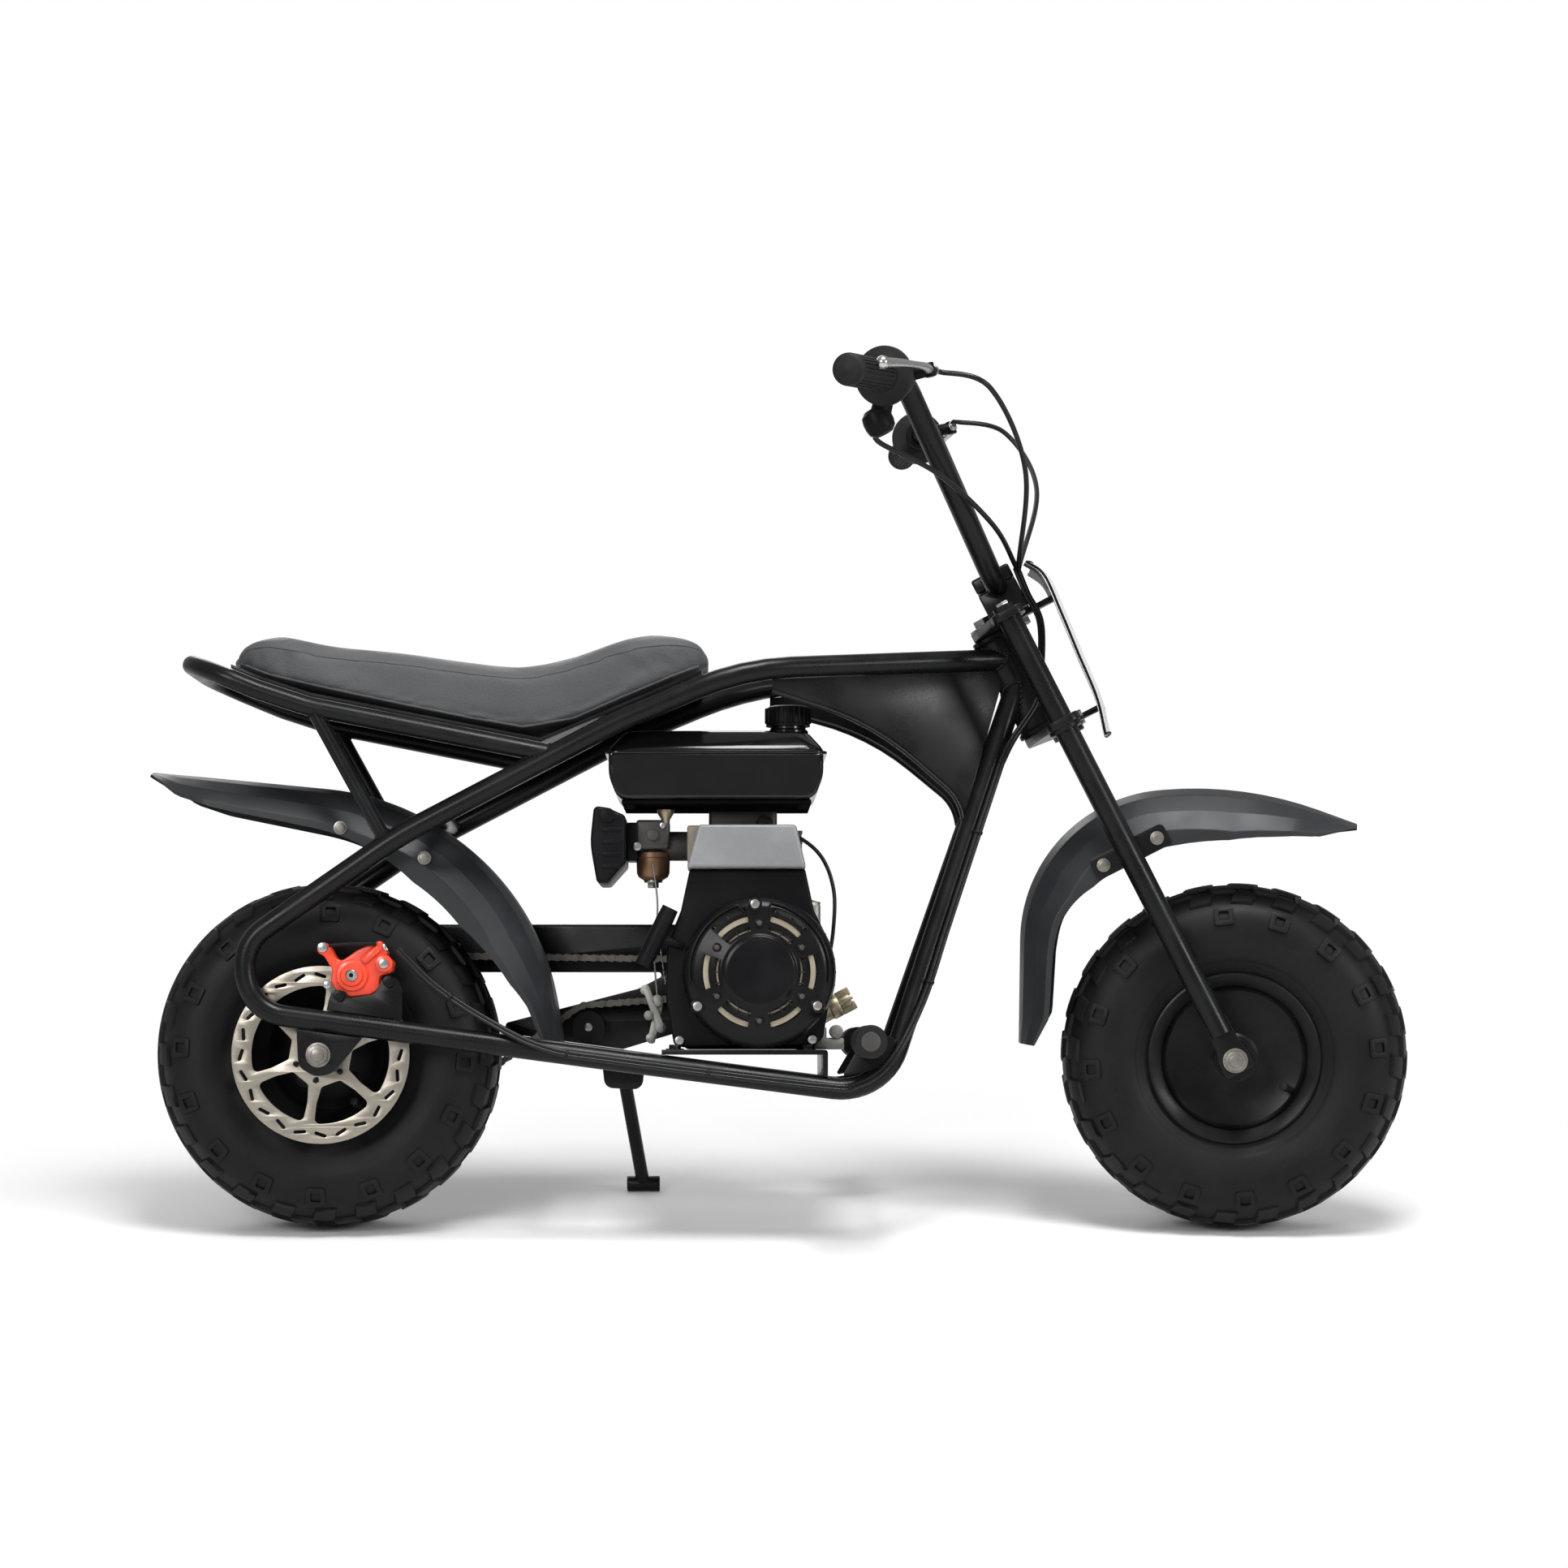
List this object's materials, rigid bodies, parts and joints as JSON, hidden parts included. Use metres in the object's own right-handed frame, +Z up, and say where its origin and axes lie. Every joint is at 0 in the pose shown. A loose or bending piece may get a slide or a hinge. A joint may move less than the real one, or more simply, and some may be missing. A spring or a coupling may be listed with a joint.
{
  "type": "minibike",
  "caption": "Small petrol minibike with a tubular frame, fat knobbly tyres, long padded seat and raised handlebar, leaning on its side stand.",
  "frame": {"origin": "middle of the whole box at floor level, with the bike leaning on its side stand", "axes": "+X towards the front of the bike, +Y to the rider's left, +Z up from the floor"},
  "size_m": [1.2894, 0.755, 0.8892],
  "materials": {
    "frame_black": "satin black powder coat",
    "dark_plastic": "dark grey moulded plastic",
    "seat_vinyl": "grained black vinyl",
    "tyre": "black tyre rubber",
    "grip_rubber": "black rubber",
    "zinc_steel": "zinc plated steel",
    "rotor_steel": "brushed champagne-tinted steel",
    "caliper_red": "orange-red paint",
    "shroud_grey": "mid grey paint",
    "cast_aluminium": "as-cast grey",
    "gloss_black": "gloss black paint",
    "recoil_black": "gloss black plastic",
    "bowl_bronze": "bronze-brown coating",
    "plate_white": "white plastic"
  },
  "bodies": {
    "frame": {"air_filter": "dark_plastic", "brake_caliper": "caliper_red", "caliper_bracket": "frame_black", "carburettor": "cast_aluminium", "chain": "zinc_steel", "chain_guard": "frame_black", "chain_tensioner": "grip_rubber", "clutch": "zinc_steel", "cylinder": "cast_aluminium", "engine_case": "cast_aluminium", "engine_plate": "frame_black", "fan_housing": "dark_plastic", "fender_cross_tube": "frame_black", "float_bowl": "bowl_bronze", "front_cross_tube": "frame_black", "fuel_tank": "gloss_black", "head_tube": "frame_black", "left_axle_plate": "frame_black", "left_foot_peg": "grip_rubber", "left_rail": "frame_black", "left_side_panel": "frame_black", "lower_cables": "grip_rubber", "muffler": "frame_black", "peg_bar": "frame_black", "rear_axle": "zinc_steel", "rear_cross_tube": "frame_black", "rear_fender": "dark_plastic", "recoil_cover": "recoil_black", "recoil_handle": "dark_plastic", "right_axle_plate": "frame_black", "right_foot_peg": "grip_rubber", "right_rail": "frame_black", "right_side_panel": "frame_black", "seat": "seat_vinyl", "seat_pan": "frame_black", "seat_rail": "frame_black", "shroud_top": "shroud_grey", "stand_lug": "frame_black", "tank_cap": "dark_plastic", "upper_cables": "grip_rubber"},
    "rear_wheel": {"rear_tyre": "tyre", "rear_rim": "frame_black", "brake_rotor": "rotor_steel", "rear_sprocket": "frame_black"},
    "front_wheel": {"front_tyre": "tyre", "front_rim": "frame_black"},
    "fork": {"left_fork_leg": "frame_black", "right_fork_leg": "frame_black", "upper_clamp": "frame_black", "lower_clamp": "frame_black", "handlebar": "frame_black", "throttle_housing": "frame_black", "left_grip": "grip_rubber", "right_grip": "grip_rubber", "left_lever": "zinc_steel", "right_lever": "zinc_steel", "number_plate": "plate_white", "front_fender": "dark_plastic", "front_axle": "zinc_steel"},
    "stand": {"side_stand": "frame_black"}
  },
  "joints": [
    {"name": "rear_wheel_spin", "type": "hinge", "parent": "frame", "child": "rear_wheel", "pos_m": [-0.46709, -0.09342, 0.17794], "axis": [0, 0.99, -0.1409], "continuous": true},
    {"name": "steering", "type": "hinge", "parent": "frame", "child": "fork", "pos_m": [0.24287, -0.03938, 0.55756], "axis": [-0.4548, 0.1254, 0.8817], "range_deg": [-22.5, 37.5], "deforming": ["upper_cables"]},
    {"name": "front_wheel_spin", "type": "hinge", "parent": "fork", "child": "front_wheel", "pos_m": [0.46672, -0.09667, 0.17806], "axis": [0.1162, 0.9899, -0.0809], "continuous": true},
    {"name": "side_stand_swing", "type": "hinge", "parent": "frame", "child": "stand", "pos_m": [-0.1671, 0.03818, 0.13517], "axis": [0.0674, 0.9154, 0.3969], "range_deg": [0, 100.9]}
  ]
}
